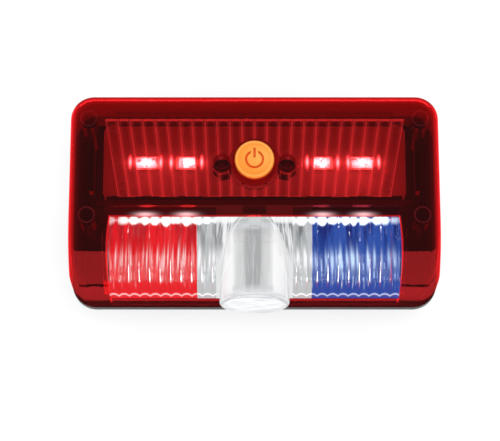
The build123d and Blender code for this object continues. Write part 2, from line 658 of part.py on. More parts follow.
for name, side in SIDES:
    x = side * CLIP_SCREW_X
    with BuildPart() as screw:
        with Locations((x, CLIP_SCREW_Y, FLOOR - BRACKET_T / 2)):
            Cone(2.1, 1.1, BRACKET_T)
        z_cylinder(1.07, FLOOR - 0.1, 14.6, x, CLIP_SCREW_Y)
        cross_recess(2.6, x, CLIP_SCREW_Y, FLOOR - BRACKET_T - 0.1, 0.7)
    save(screw, "clip_screw_" + name)

LUG_R, LUG_FOOT, LUG_W = 2.8, 4.4, 2.6
LUG_Z = LEVER_T - 0.4    # raised features start inside the plate
JAW_TOP = 8.7
JAW_X = 13.0
with BuildPart() as clip_lever:
    mid_block(LEVER_X, LEVER_Y0, LEVER_Y1, 0.0, LEVER_T, corner=4.0)
    fillet(clip_lever.edges().group_by(Axis.Z)[0], 0.8)
    # lugs for the pin
    for x0 in (-PIN_X, PIN_X - LUG_W):
        with BuildSketch(Plane.YZ.offset(x0)):
            with BuildLine():
                Polyline((PIN_Y - LUG_R, PIN_Z), (PIN_Y - LUG_FOOT, LUG_Z),
                         (PIN_Y + LUG_FOOT, LUG_Z), (PIN_Y + LUG_R, PIN_Z))
                CenterArc((PIN_Y, PIN_Z), LUG_R, 0, 180)
            make_face()
        extrude(amount=LUG_W)
    # gripping jaw, stiffening ribs
    mid_block(JAW_X, 13.6, 17.4, LUG_Z, JAW_TOP)
    for x0 in (-12.9, -0.7, 11.5):
        block(x0, x0 + 1.4, -1.8, 14.0, LUG_Z, LEVER_T + 1.0)
    # thumb grooves on the outside of the short end
    for k in range(4):
        y = -16.4 + 1.7 * k
        mid_block(3.6, y, y + 0.7, -1.0, 0.5, mode=CUT)
    # access holes to the two bracket screws
    for x in (-CLIP_SCREW_X, CLIP_SCREW_X):
        z_cylinder(2.4, -1.0, LEVER_T + 1, x, CLIP_SCREW_Y, mode=CUT)
    x_cylinder(PIN_D / 2, -16, 16, PIN_Y, PIN_Z, mode=CUT)
    # pocket that the lower spring leg dips into as the thumb end is pressed
    x = SPRING_SIDE * COIL_L / 2
    block(x - 0.75, x + 0.75, PIN_Y - LEG - 1.1, PIN_Y + 0.6, 1.05, LEVER_T + 1, mode=CUT)
save(clip_lever, "clip_lever")

with BuildPart() as clip_pin:
    x_cylinder(PIN_D / 2, -PIN_X, PIN_X, PIN_Y, PIN_Z)
    chamfer(clip_pin.edges().filter_by(GeomType.CIRCLE), 0.3)
save(clip_pin, "clip_pin")

# toothed pad on the jaw
PAD_X = 12.8
PAD_PROFILE = (          # y, z
    (13.8, 8.7), (13.8, 9.2), (14.3, 9.6), (14.8, 9.2), (15.1, 9.2), (15.6, 9.6),
    (16.1, 9.2), (16.4, 9.2), (16.8, 9.6), (17.2, 9.2), (17.2, 8.7), (13.8, 8.7),
)
with BuildPart() as clip_pad:
    with BuildSketch(Plane.YZ.offset(-PAD_X)):
        with BuildLine():
            Polyline(*PAD_PROFILE)
        make_face()
    extrude(amount=2 * PAD_X)
save(clip_pad, "clip_pad")

# torsion spring: 8.5 turns round the pin, both legs toward the thumb end
coil = Helix(pitch=1.0, height=COIL_L, radius=COIL_R)
leg_start = coil @ 0 - (coil % 0) * LEG
leg_end = coil @ 1 + (coil % 1) * LEG
with BuildPart() as torsion:
    with BuildLine() as wire_line:
        Line(leg_start, coil @ 0)
        add(coil)
        Line(coil @ 1, leg_end)
    with BuildSketch(Plane(origin=leg_start, z_dir=coil % 0)):
        Circle(WIRE / 2)
    sweep(path=wire_line.wires()[0])
torsion_part = torsion.part.rotate(Axis.Y, -90)
torsion_part = torsion_part.moved(Location((COIL_L / 2, PIN_Y, PIN_Z)))
with BuildPart() as clip_spring:
    add(torsion_part)
save(clip_spring, "clip_spring")
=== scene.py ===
"""Looks and stage for a small clip-on lamp with a clear red shell.

The body lies flat: x runs left to right, the front lens faces -y and the button faces +z.
Units are metres; lengths are written in millimetres times MM. The CAD pieces keep their
meshes, so the looks come from materials drawn in object coordinates.
"""

import json
import math
import random
from functools import cached_property, reduce
from operator import add

import bpy
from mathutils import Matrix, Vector

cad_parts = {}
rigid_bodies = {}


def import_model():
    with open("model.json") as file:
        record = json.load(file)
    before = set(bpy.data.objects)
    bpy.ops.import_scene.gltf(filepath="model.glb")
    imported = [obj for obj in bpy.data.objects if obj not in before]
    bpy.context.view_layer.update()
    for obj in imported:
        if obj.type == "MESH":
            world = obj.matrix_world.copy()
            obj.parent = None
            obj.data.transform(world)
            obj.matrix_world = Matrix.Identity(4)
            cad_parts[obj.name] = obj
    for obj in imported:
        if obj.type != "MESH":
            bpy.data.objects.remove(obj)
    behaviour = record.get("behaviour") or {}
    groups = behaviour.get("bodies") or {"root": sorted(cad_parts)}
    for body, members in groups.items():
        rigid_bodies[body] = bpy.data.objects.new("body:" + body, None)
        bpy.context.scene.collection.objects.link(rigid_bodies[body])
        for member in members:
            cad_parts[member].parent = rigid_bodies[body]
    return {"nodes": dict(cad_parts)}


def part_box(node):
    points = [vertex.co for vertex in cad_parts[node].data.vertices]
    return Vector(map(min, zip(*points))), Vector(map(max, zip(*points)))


random.seed(7)
for old in list(bpy.data.objects):
    bpy.data.objects.remove(old)

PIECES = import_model()["nodes"]
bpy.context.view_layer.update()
MM = 0.001

# Body, from the box of the top shell
LOW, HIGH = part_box("top_shell")
TOP = HIGH.z
FRONT = LOW.y
NOSE_RADIUS = 17.1 * MM  # rounded front edge, seen from the side
NOSE_Y = FRONT + NOSE_RADIUS
NOSE_Z = TOP - NOSE_RADIUS
REAR_CORNER = 5.5 * MM  # plan corner radius
FRONT_CORNER_EXTRA = 2.1 * MM  # added to it at the front corners

# Front window
WINDOW_DROP = 18.9 * MM  # slanting height from top edge to foot
FLUTE_PITCH = 68.4 / 28 * MM  # 28 flutes across 68.4 mm
BULLET_HALF = 8.2 * MM  # half width of the frosted bullet in its middle

# Emitters, by x
FRONT_RED_X = (-25.3 * MM, -15.8 * MM)
FRONT_BLUE_X = (15.8 * MM, 25.3 * MM)
UPPER_X = (-25.6 * MM, -16.0 * MM, 16.0 * MM, 25.6 * MM)
UPPER_GLOW_Y = 7.8 * MM

WHITE = (1.0, 1.0, 1.0)


# ------------------------------------------------------------------ node tools
class Value:
    """A node's output. Each arithmetic or comparison operator adds one Math node."""

    def __init__(self, tree, socket):
        self.tree = tree
        self.socket = socket

    def __add__(self, other):
        return self.tree.math("ADD", self, other)

    def __radd__(self, other):
        return self.tree.math("ADD", other, self)

    def __sub__(self, other):
        return self.tree.math("SUBTRACT", self, other)

    def __rsub__(self, other):
        return self.tree.math("SUBTRACT", other, self)

    def __mul__(self, other):
        return self.tree.math("MULTIPLY", self, other)

    def __truediv__(self, other):
        return self.tree.math("DIVIDE", self, other)

    def __lt__(self, other):
        return self.tree.math("LESS_THAN", self, other)

    def __gt__(self, other):
        return self.tree.math("GREATER_THAN", self, other)

    def __abs__(self):
        return self.tree.math("ABSOLUTE", self)


def total(values):
    """Sum of Values, without the zero that sum() would start from."""
    return reduce(add, values)


class Tree:
    """Builds the nodes of a material or world."""

    def __init__(self, owner):
        self.owner = owner
        owner.use_nodes = True
        self.nodes = owner.node_tree.nodes
        self.links = owner.node_tree.links
        self.nodes.clear()

    def add(self, kind, inputs=None, **props):
        """Add a node; each input takes a Value, a number or an RGB tuple."""
        node = self.nodes.new("ShaderNode" + kind)
        for key, setting in props.items():
            setattr(node, key, setting)
        for key, value in (inputs or {}).items():
            socket = node.inputs[key]
            if isinstance(value, Value):
                self.links.new(value.socket, socket)
            elif isinstance(value, tuple):
                socket.default_value = (*value, 1.0)
            else:
                socket.default_value = value
        return node

    def get(self, kind, inputs=None, output=0, **props):
        """Add a node and return one of its outputs."""
        return Value(self, self.add(kind, inputs, **props).outputs[output])

    # Shared inputs, made on first use
    @cached_property
    def point(self):
        return self.get("TexCoord", output="Object")

    @cached_property
    def axes(self):
        """x, y and z of the point in object coordinates."""
        return self.split(self.point)

    @cached_property
    def geometry(self):
        return self.add("NewGeometry")

    @cached_property
    def normal(self):
        """x, y and z of the surface normal."""
        return self.split(Value(self, self.geometry.outputs["Normal"]))

    @cached_property
    def outer(self):
        """1 where the surface is seen from its outer side."""
        return 1.0 - Value(self, self.geometry.outputs["Backfacing"])

    @cached_property
    def light_path(self):
        return self.add("LightPath")

    def ray(self, kind):
        return Value(self, self.light_path.outputs[f"Is {kind} Ray"])

    def lights_pass(self):
        """1 for the rays that carry light to what lies behind."""
        return self.math("MAXIMUM", self.ray("Shadow"), self.ray("Diffuse"))

    # Numbers
    def math(self, operation, a, b=0.0, clamp=False):
        return self.get("Math", {0: a, 1: b, 2: 0.0}, operation=operation, use_clamp=clamp)

    def split(self, vector):
        return [Value(self, out) for out in self.add("SeparateXYZ", {0: vector}).outputs]

    def combine(self, x, y, z):
        return self.get("CombineXYZ", {0: x, 1: y, 2: z})

    def radius(self, a, b):
        return self.math("SQRT", a * a + b * b)

    def rise(self, value, start, end):
        """0 below start, 1 above end, smooth between."""
        return self.get("MapRange", {"Value": value, "From Min": start, "From Max": end},
                        output="Result", interpolation_type="SMOOTHSTEP")

    def fall(self, value, start, end):
        return 1.0 - self.rise(value, start, end)

    def bell(self, value, at, width):
        """1 at a place, fading to both sides as exp(-square)."""
        return self.exp_of_squares([(value, at, width)])

    def spot(self, x, y, at, width):
        """The same bell in two directions; at and width are pairs."""
        return self.exp_of_squares(zip((x, y), at, width))

    def exp_of_squares(self, terms):
        squares = []
        for value, at, width in terms:
            away = (value - at) / width
            squares.append(away * away)
        return self.math("EXPONENT", total(squares) * -1.0)

    # Textures and colours
    def noise(self, vector, scale, detail=2.0, roughness=0.5):
        mapped = self.get("Mapping", {"Vector": vector})
        return self.get("TexNoise", {"Vector": mapped, "Scale": scale, "Detail": detail,
                                     "Roughness": roughness}, output="Fac")

    def bump(self, height, strength, distance):
        return self.get("Bump", {"Height": height, "Strength": strength,
                                 "Distance": distance}, output="Normal")

    def mix(self, factor, a, b):
        """Colour a where the factor is 0, b where it is 1."""
        return self.get("Mix", {"Factor": factor, 6: a, 7: b}, output=2, data_type="RGBA")

    def grey_ramp(self, factor, stops):
        node = self.add("ValToRGB", {"Fac": factor})
        elements = node.color_ramp.elements
        while len(elements) < len(stops):
            elements.new(0.5)
        for element, (position, grey) in zip(elements, stops):
            element.position = position
            element.color = (grey, grey, grey, 1.0)
        return Value(self, node.outputs["Color"])

    # Shaders
    def mix_shader(self, factor, a, b):
        return self.get("MixShader", {0: factor, 1: a, 2: b})

    def add_shader(self, a, b):
        return self.get("AddShader", {0: a, 1: b})

    def emit(self, color, strength=1.0):
        return self.get("Emission", {"Color": color, "Strength": strength})

    def transparent(self, color):
        return self.get("BsdfTransparent", {"Color": color})

    def finish(self, surface, volume=None, kind="OutputMaterial"):
        node = self.add(kind, {"Surface": surface})
        if volume is not None:
            self.links.new(volume.socket, node.inputs["Volume"])
        return self.owner


def material(name):
    return Tree(bpy.data.materials.new(name))


# ------------------------------------------------------------------ body shapes
def outline(t):
    """Distance from the body's plan outline, negative inside."""
    x, y, _ = t.axes
    half_x = (HIGH.x - LOW.x) / 2
    half_y = (HIGH.y - LOW.y) / 2
    from_centre = y - (HIGH.y + LOW.y) / 2
    corner = REAR_CORNER + (from_centre < 0.0) * FRONT_CORNER_EXTRA
    past_x = abs(x) - half_x + corner
    past_y = abs(from_centre) - half_y + corner
    outside = t.radius(t.math("MAXIMUM", past_x, 0.0), t.math("MAXIMUM", past_y, 0.0))
    inside = t.math("MINIMUM", t.math("MAXIMUM", past_x, past_y), 0.0)
    return outside + inside - corner


def window_side(t):
    """Distance outside the side edge of the front window, which bulges in its middle."""
    x, y, _ = t.axes
    along = (y + 15.0 * MM) / (9.5 * MM)
    bulge = (1.0 - along * along) * (0.8 * MM)
    return abs(x) - 33.4 * MM - bulge


def window_drop(t):
    """Distance down from the window's top edge, across the camera's line of sight."""
    _, y, z = t.axes
    forward_share = 0.956
    down_share = 0.292
    return (NOSE_Y - y) * forward_share + (TOP - z) * down_share


# ------------------------------------------------------------------ materials
def shell_rim_light(t, inset, rear):
    """Light leaving the wall in bands that follow the outline, some only at the rear."""
    edge = t.rise(inset, start=-0.45 * MM, end=-0.10 * MM) * (0.32 - rear * 0.24)
    front_band = t.bell(inset, at=-0.98 * MM, width=0.24 * MM) * (0.40 - rear * 0.40)
    rear_band = t.bell(inset, at=-1.36 * MM, width=0.26 * MM) * (rear * 1.15)
    broad = t.bell(inset, at=-0.9 * MM, width=0.85 * MM) * 0.30
    higher = t.rise(t.axes[2], start=TOP - 9.0 * MM, end=TOP - 1.0 * MM)
    return (edge + (front_band + rear_band + broad)) * (0.18 + higher * 0.82)


def shell_window_light(t):
    """Lines of light along the sides, the top and the foot of the front window."""
    x, y, z = t.axes
    sides = (t.bell(window_side(t), at=0.10 * MM, width=0.17 * MM)
             * (y < NOSE_Y + 0.2 * MM) * (z > NOSE_Z + 3.2 * MM))
    top = t.bell(y, at=NOSE_Y + 0.15 * MM, width=0.20 * MM) * (abs(x) < 33.8 * MM)
    foot_lines = (t.bell(z, at=NOSE_Z + 4.65 * MM, width=0.28 * MM)
                  + t.bell(z, at=NOSE_Z + 2.0 * MM, width=0.25 * MM) * 0.45)
    foot = foot_lines * (y < NOSE_Y - 8 * MM) * (abs(x) < 34.0 * MM)
    return sides, top, foot


def shell_painted_highlights(t):
    """Painted highlights on the top face: faint rings of the moulded bosses and two small domes.
    """
    x, y, z = t.axes
    # x, y and radius in mm, brightness; each is mirrored in x
    bosses = ((39.0, 17.8, 1.85, 0.07), (39.0, -5.9, 1.85, 0.10), (7.65, 7.5, 2.15, 0.05))
    rings = []
    for boss_x, boss_y, radius, brightness in bosses:
        away = t.radius(abs(x) - boss_x * MM, y - boss_y * MM)
        rings.append(t.bell(away, at=radius * MM, width=0.13 * MM) * brightness)
    domes = t.spot(abs(x) - 7.9 * MM, y, at=(0.0, 7.9 * MM), width=(0.55 * MM, 0.4 * MM)) * 0.16
    return (total(rings) + domes) * t.outer * (z > TOP - 0.2 * MM)


def red_shell():
    """Clear red wall: its colour comes from the path light takes through it; glow lines and
    highlights are painted on top.
    """
    t = material("red_shell")
    x, y, z = t.axes
    rear_wall = (y > 20.5 * MM) * (abs(t.normal[2]) < 0.5)
    clear = t.transparent(t.mix(rear_wall, (0.985, 0.86, 0.87), (0.70, 0.62, 0.63)))
    waves = t.bump(t.noise(t.point, scale=45.0, detail=1.0), strength=0.05, distance=0.0004)
    gloss = t.get("BsdfGlossy", {"Color": (1.0, 0.035, 0.04), "Roughness": 0.035,
                                 "Normal": waves})
    fresnel = t.get("Fresnel", {"IOR": 1.50, "Normal": waves})
    # gloss and rim light are dimmed below the front window
    above_foot = 1.0 - ((y < NOSE_Y - 8 * MM) * 0.85
                        * t.fall(z, start=NOSE_Z + 3.6 * MM, end=NOSE_Z + 5.2 * MM))
    gloss_share = t.math("MINIMUM", fresnel * 3.2, 0.16) * t.outer * above_foot
    body = t.mix_shader(gloss_share, clear, gloss)
    cloud = t.get("BsdfDiffuse", {"Color": (0.9, 0.02, 0.025)})
    cloud_share = 0.004
    body = t.mix_shader(cloud_share, body, cloud)

    # painted light lines along the wall: rims, window edges and over the internal ribs
    inset = outline(t)
    rear = t.rise(y, start=20.0 * MM, end=21.8 * MM)
    painted_rim_light = shell_rim_light(t, inset, rear) * above_foot
    sides, top, foot = shell_window_light(t)
    rib_highlights = (t.bell(abs(x), at=38.2 * MM, width=0.40 * MM) * (z < TOP - 1.9 * MM)
            * t.rise(y, start=-0.5 * MM, end=1.0 * MM)
            * t.fall(y, start=15.0 * MM, end=16.5 * MM))
    # brightness of each part
    glow = painted_rim_light * 0.42 + sides * 0.75 + top * 0.45 + foot * 0.35 + rib_highlights * 0.35
    glow = glow * (1.0 - t.ray("Transmission"))
    glow = t.emit((1.0, 0.014, 0.020), glow * t.outer)

    # a faint even glow painted on the outer face; the painted highlights and the spill are added
    # to it
    painted_glow = t.emit((1.0, 0.60, 0.62), t.outer * 0.0050)
    painted_glow = t.add_shader(painted_glow, t.emit((1.0, 0.06, 0.08), shell_painted_highlights(t)))
    # light of the front emitters spilling over the window's top edge
    spill = total([t.spot(x, y, at=(led_x, NOSE_Y + 0.55 * MM),
                          width=(2.1 * MM, 0.50 * MM)) * 1.1
                   for led_x in FRONT_RED_X + FRONT_BLUE_X])
    painted_glow = t.add_shader(painted_glow, t.emit((1.0, 0.55, 0.58), spill * t.outer))

    rear_lip = (t.rise(inset, start=-1.10 * MM, end=-0.80 * MM)
                * t.rise(z, start=TOP - 14.0 * MM, end=TOP - 6.0 * MM)
                * rear * t.outer * 0.86)
    body = t.mix_shader(rear_lip, body, t.emit((0.30, 0.008, 0.010)))
    volume = t.get("VolumeAbsorption", {"Color": (0.93, 0.24, 0.26), "Density": 2100.0})
    return t.finish(t.add_shader(t.add_shader(body, glow), painted_glow), volume)


def strip_streaks(t, lean, drop, streak_width):
    """Painted highlight streaks halfway down, each with its own length and place."""
    rows = []
    # streaks to a flute, sideways shift in streaks
    for per_flute, shift in ((2.0, 0.0), (1.5, 0.37)):
        count = lean * per_flute / FLUTE_PITCH + shift
        streak_id = t.combine(t.math("FLOOR", count), per_flute, 0.5)
        place = t.noise(streak_id, scale=0.83, detail=1.0)
        length = t.noise(streak_id, scale=1.37, detail=1.0)
        across = t.bell(t.math("FRACT", count), at=0.5, width=streak_width)
        along = t.bell(drop, at=0.52 + (place - 0.5) * 0.16, width=0.05 + length * 0.11)
        rows.append(across * along * t.rise(length, start=0.30, end=0.60))
    return total(rows)


def strip_tails(t, lean, drop, brightness):
    """Two thin painted highlight lines to a flute near the foot, broken along their length."""
    count = lean / FLUTE_PITCH
    pattern = t.combine(t.math("FLOOR", count), drop * 6.0, 0.1)
    gaps = t.rise(t.noise(pattern, scale=1.7, detail=3.0, roughness=0.7), start=0.40, end=0.58)
    main = (t.bell(t.math("FRACT", count), at=0.34, width=0.055)
            * t.rise(drop, start=0.48, end=0.60) * t.fall(drop, start=0.84, end=0.95)
            * gaps * brightness)
    faint = (t.bell(t.math("FRACT", count), at=0.62, width=0.04)
             * t.rise(drop, start=0.55, end=0.7) * t.fall(drop, start=0.80, end=0.92)
             * gaps * (0.5 * brightness))
    return main + faint


def strip_hot_spots(t, drop, pool):
    """Uneven hot spots under the top edge, one to a flute."""
    x = t.axes[0]
    across = t.combine(x, 0.0, 0.7)
    wobble = (t.noise(across, scale=260.0, detail=1.0) - 0.5) * (2.6 * MM)
    flute = abs(t.math("SINE", (x + wobble) * (math.pi / FLUTE_PITCH)))
    size = (t.noise(across, scale=420.0, detail=1.0) - 0.5) * 0.13
    reach = t.rise(flute, start=0.25, end=0.95) * 0.028 + size
    return (t.fall(drop - reach, start=0.035, end=0.095)
            * t.rise(drop, start=0.006, end=0.016)
            * (0.95 + t.rise(flute, start=0.40, end=0.9) * 0.4)
            * (0.12 + pool * 1.6))


def lit_strip(name, base, dark, hot, pale, leds, tails, glints, streak_width):
    """Strip behind the front window, with a painted glow of the emitters above it.

    base is its colour; dark, hot and pale are the colours of its painted shade streaks, painted
    hot spots and painted highlights; leds are the emitters' x; tails and glints are the
    brightness of the thin highlight lines and of all painted highlights.
    """
    t = material(name)
    x = t.axes[0]
    # 0 at the top edge of the window, 1 at its foot
    drop = window_drop(t) / WINDOW_DROP
    lean = x - t.math("SIGN", x) * (drop - 0.4) * (0.9 * MM)
    # dark streaks near the top, more even colour below
    streaks = t.noise(t.combine(lean, drop * 0.0020, 0.0), scale=520.0, detail=3.0,
                      roughness=0.6)
    upper = t.fall(drop, start=0.14, end=0.50)
    shade = t.rise(streaks, start=0.44, end=0.60) * (0.25 + upper * 0.65)
    color = t.mix(shade, base, dark)
    pool = total([t.bell(x, at=led_x, width=5.4 * MM) for led_x in leds])
    glint = t.math("ADD", strip_streaks(t, lean, drop, streak_width) * (0.55 + pool * 0.6),
                   strip_tails(t, lean, drop, tails), clamp=True)
    color = t.mix(glint * glints, color, pale)
    hot_spots = t.math("MULTIPLY", strip_hot_spots(t, drop, pool), 1.0, clamp=True)
    color = t.mix(hot_spots, color, hot)
    above_edge = t.fall(drop, start=-0.002, end=0.006)
    color = t.mix(above_edge, color, tuple(c * 0.05 + 0.003 for c in base))
    clear = t.transparent(tuple(min(1.0, c * 2 + 0.1) for c in base))
    return t.finish(t.mix_shader(t.lights_pass(), t.emit(color), clear))


def lens_window(t, drop, beside):
    """Fluted window: weakly refracting, with a painted foot and bullet surround."""
    x, y, _ = t.axes
    uneven = t.bump(t.noise(t.point, scale=300.0), strength=0.25, distance=0.0006)
    glass = t.get("BsdfGlass", {"Color": (0.99, 0.99, 0.99), "Roughness": 0.02, "IOR": 1.14,
                                "Normal": uneven})
    sheen = t.get("BsdfGlossy", {"Color": WHITE, "Roughness": 0.12, "Normal": uneven})
    window = t.mix_shader(t.get("Fresnel", {"IOR": 1.35}) * t.outer, glass, sheen)

    # foot: red, grey and blue zones with fine pale stripes, and a scalloped painted highlight
    # line
    in_flute = t.math("FRACT", x / FLUTE_PITCH)
    arc = (in_flute - 0.5) * (in_flute - 0.5)
    scallop_highlight = t.bell(drop + arc * -0.11, at=0.958, width=0.010)
    red_side = x < -13.4 * MM
    blue_side = x > 13.4 * MM
    zone = t.mix(blue_side, (0.55, 0.56, 0.57), (0.022, 0.065, 0.36))
    zone = t.mix(red_side, zone, (0.80, 0.012, 0.018))
    stripes = t.noise(t.combine(x, drop * 0.0015, 0.9), scale=1500.0, roughness=0.6)
    stripe_share = (t.rise(stripes, start=0.55, end=0.70)
                    * t.fall(drop, start=0.84, end=0.92) * 0.75)
    stripe_color = t.mix(red_side, (0.80, 0.85, 0.93), (1.0, 0.30, 0.30))
    zone = t.mix(stripe_share, zone, stripe_color)
    foot = t.rise(drop, start=0.765, end=0.83) * t.outer * (y > FRONT - 0.5 * MM) * 0.88
    window = t.mix_shader(foot, window, t.emit(zone))
    window = t.add_shader(window, t.emit((0.95, 0.95, 0.97), scallop_highlight * t.outer * 0.60))

    # close beside the bullet: grey with pale streaks, bright at the top
    lean = x - t.math("SIGN", x) * drop * (2.2 * MM)
    streaks = t.noise(t.combine(lean, drop * 0.0015, 0.6), scale=1300.0, detail=3.0,
                      roughness=0.65)
    side = t.mix(t.rise(streaks, start=0.40, end=0.62), (0.26, 0.27, 0.28), (0.90, 0.91, 0.92))
    side = t.mix(t.rise(drop, start=0.25, end=0.6), side, (0.80, 0.81, 0.82))
    side = t.mix(t.fall(drop, start=0.05, end=0.10) * 0.8, side, (1.1, 1.1, 1.1))
    return t.mix_shader(beside * 0.9, window, t.emit(side))


def bullet_face(t):
    """Front face of the torch tube, its look painted as glow: grey and white streaks stretched
    across, with a faint grey ring.
    """
    x, _, z = t.axes
    grey_streaks = t.noise(t.combine(x * 0.25, 0.0, z), scale=700.0, detail=3.0, roughness=0.6)
    color = t.mix(t.rise(grey_streaks, start=0.38, end=0.62), (0.70, 0.72, 0.74), (0.97, 0.98, 0.98))
    from_axis = t.radius(x, z - (TOP - 8.2 * MM))
    ring = t.bell(from_axis, at=7.7 * MM, width=0.30 * MM)
    return t.mix(ring * 0.75, color, (0.45, 0.47, 0.49))


def lens_bullet(t, drop, half_width, side_x):
    """Frosted bullet, its look painted as glow: painted shading with a grey core and paler
    flanks, streaked, with a painted shade line and a painted highlight line along its edges.
    """
    x, y, z = t.axes
    streaks = t.noise(t.combine(x, y * 0.08, z * 0.4), scale=1300.0, detail=3.0, roughness=0.6)
    from_core = abs(x + 0.35 * MM)
    # painted shading across the bullet; distance from the core over BULLET_HALF, grey level
    painted_shading = t.grey_ramp(from_core / BULLET_HALF, [
        (0.0, 0.42), (0.20, 0.44), (0.29, 0.66), (0.48, 0.76), (0.60, 1.05), (0.74, 1.02),
        (0.90, 0.97), (0.96, 1.02), (1.0, 0.88)])
    core = t.rise(drop, start=0.10, end=0.20) * t.fall(drop, start=0.80, end=0.90)
    tint = t.mix(core, (0.66, 0.68, 0.69), painted_shading)
    tint = t.mix(t.rise(from_core / BULLET_HALF, start=0.52, end=0.62), tint, painted_shading)
    tint = t.mix(t.rise(streaks, start=0.45, end=0.7) * 0.30, tint, (0.95, 0.97, 0.98))
    tint = t.mix(t.rise(drop, start=0.86, end=0.93) * 0.75, tint, (0.93, 0.94, 0.95))
    # a painted shade line at the edge and a painted highlight line inside it
    painted_edge_shade = t.bell(half_width - side_x, at=0.30 * MM, width=0.16 * MM)
    painted_edge_highlight = t.bell(half_width - side_x, at=0.75 * MM, width=0.22 * MM)
    tint = t.mix(painted_edge_highlight * 0.8, tint, WHITE)
    tint = t.mix(painted_edge_shade * 0.36, tint, (0.42, 0.44, 0.46))
    on_face = (t.normal[1] < -0.5) * (y < FRONT - 0.5 * MM)
    tint = t.mix(on_face, tint, bullet_face(t))
    # painted shade where the bullet is seen edge-on
    grazing = t.rise(t.get("LayerWeight", {"Blend": 0.5}, output="Facing"),
                     start=0.72, end=0.98)
    tint = t.mix(grazing * 0.6, tint, (0.50, 0.52, 0.54))

    glow = t.emit(tint, 0.95 + streaks * 0.08)
    glass = t.get("BsdfGlass", {"Color": (0.97, 0.98, 0.99), "Roughness": 0.08, "IOR": 1.2})
    # glass mixed with the painted glow on the outer face
    glass_and_painted_glow = t.mix_shader(t.outer * 0.80, glass, glow)
    shine = t.get("BsdfGlossy", {"Color": WHITE, "Roughness": 0.08})
    shine_share = t.math("MINIMUM", t.get("Fresnel", {"IOR": 1.45}), 0.10) * t.outer
    return t.mix_shader(shine_share, glass_and_painted_glow, shine)


def front_lens():
    """Clear fluted window with the frosted bullet over the torch."""
    t = material("clear_front_lens")
    x, y, _ = t.axes
    side_x = abs(x)
    distance = window_drop(t)
    drop = distance / WINDOW_DROP
    # the bullet widens from its tip at the window's top edge
    widening = t.math("EXPONENT", distance * (-1.0 / (5.2 * MM)))
    half_width = 8.28 * MM - widening * (4.65 * MM)
    on_nose = y < NOSE_Y - 0.01 * MM
    tube_end = (y < FRONT + 0.8 * MM) * (side_x < 8.3 * MM)
    bullet = t.math("MAXIMUM", (side_x < half_width) * on_nose, tube_end)
    beside = (side_x < 8.95 * MM) * on_nose * (1.0 - bullet) * t.outer
    body = t.mix_shader(bullet, lens_window(t, drop, beside),
                        lens_bullet(t, drop, half_width, side_x))
    return t.finish(t.mix_shader(t.lights_pass(), body, t.transparent((0.95, 0.96, 0.97))))


def upper_lens():
    """Fluted upper diffuser: painted highlight lines along the grooves, painted streaks of light
    at each emitter.
    """
    t = material("fluted_clear")
    x, y, _ = t.axes
    upward = t.normal[2] > 0.25
    # the piece widens to the rear; 12 flutes fill each half
    half_width = 32.0 * MM + (y + 0.6 * MM) * (3.4 / 19.2)
    count = x * 12.0 / half_width
    in_flute = t.math("FRACT", count)
    groove = t.math("MINIMUM", in_flute, 1.0 - in_flute)
    # painted highlight lines: a pair to each groove, along the end walls and in dashes at the
    # rear
    groove_highlight_pair = t.bell(groove, at=0.055, width=0.035) + t.bell(groove, at=0.20, width=0.035) * 0.35
    pattern = t.combine(t.math("FLOOR", count), y * 90.0, 0.0)
    vary = 0.35 + t.noise(pattern, scale=0.8, roughness=0.6) * 1.3
    end_wall_highlights = (t.bell(y, at=18.55 * MM, width=0.16 * MM)
                 + t.bell(y, at=-0.5 * MM, width=0.16 * MM) * 0.6)
    rear_dash_highlights = (t.bell(y, at=18.2 * MM, width=0.22 * MM)
                   * t.rise(groove, start=0.12, end=0.2) * 0.9)
    lines = groove_highlight_pair * vary + end_wall_highlights * 0.5 + rear_dash_highlights

    glows = []
    for led_x in UPPER_X:
        place = (led_x, UPPER_GLOW_Y)
        core = t.spot(x, y, at=place, width=(2.9 * MM, 0.80 * MM)) * 6.0
        halo = t.spot(x, y, at=place, width=(4.6 * MM, 2.0 * MM)) * 0.45
        # one spark on each side of the emitter
        sparks = t.spot(abs(x - led_x), y, at=(3.6 * MM, UPPER_GLOW_Y),
                        width=(0.28 * MM, 0.95 * MM)) * 22.0
        glows.append(core * (0.25 + groove_highlight_pair) + halo + sparks)
    light = t.add_shader(t.emit((1.0, 0.75, 0.75), lines * upward * t.outer * 0.62),
                         t.emit((1.0, 0.85, 0.85), total(glows) * upward * t.outer))
    glass = t.get("BsdfGlass", {"Color": (0.98, 0.97, 0.97), "Roughness": 0.0, "IOR": 1.16})
    return t.finish(t.mix_shader(t.lights_pass(), t.add_shader(glass, light),
                                 t.transparent((0.96, 0.93, 0.93))))


def power_button():
    """Orange button: softly lit dish, the mark a deeper orange."""
    t = material("orange_button")
    x, y, z = t.axes
    button_y = y - 7.5 * MM
    radius = t.radius(x, button_y)
    glow = t.spot(x, button_y, at=(1.2 * MM, 0.6 * MM), width=(4.0 * MM, 3.0 * MM))
    color = t.mix(glow, (0.93, 0.28, 0.028), (0.95, 0.41, 0.085))
    # painted highlight around the rim of the dish
    painted_rim_light = t.bell(radius, at=4.15 * MM, width=0.28 * MM)
    color = t.mix(painted_rim_light * 0.55, color, (0.97, 0.50, 0.12))
    mark = (z < TOP + 0.38 * MM) * (radius < 3.9 * MM)
    color = t.mix(mark * 0.9, color, (0.80, 0.10, 0.010))
    skirt = t.rise(radius, start=4.3 * MM, end=4.65 * MM)
    color = t.mix(skirt, color, (0.86, 0.20, 0.018))
    grain = t.bump(t.noise(t.point, scale=3000.0), strength=0.06, distance=0.0002)
    return t.finish(t.get("BsdfPrincipled", {
        "Base Color": color, "Roughness": 0.42, "Normal": grain, "Specular IOR Level": 0.3}))


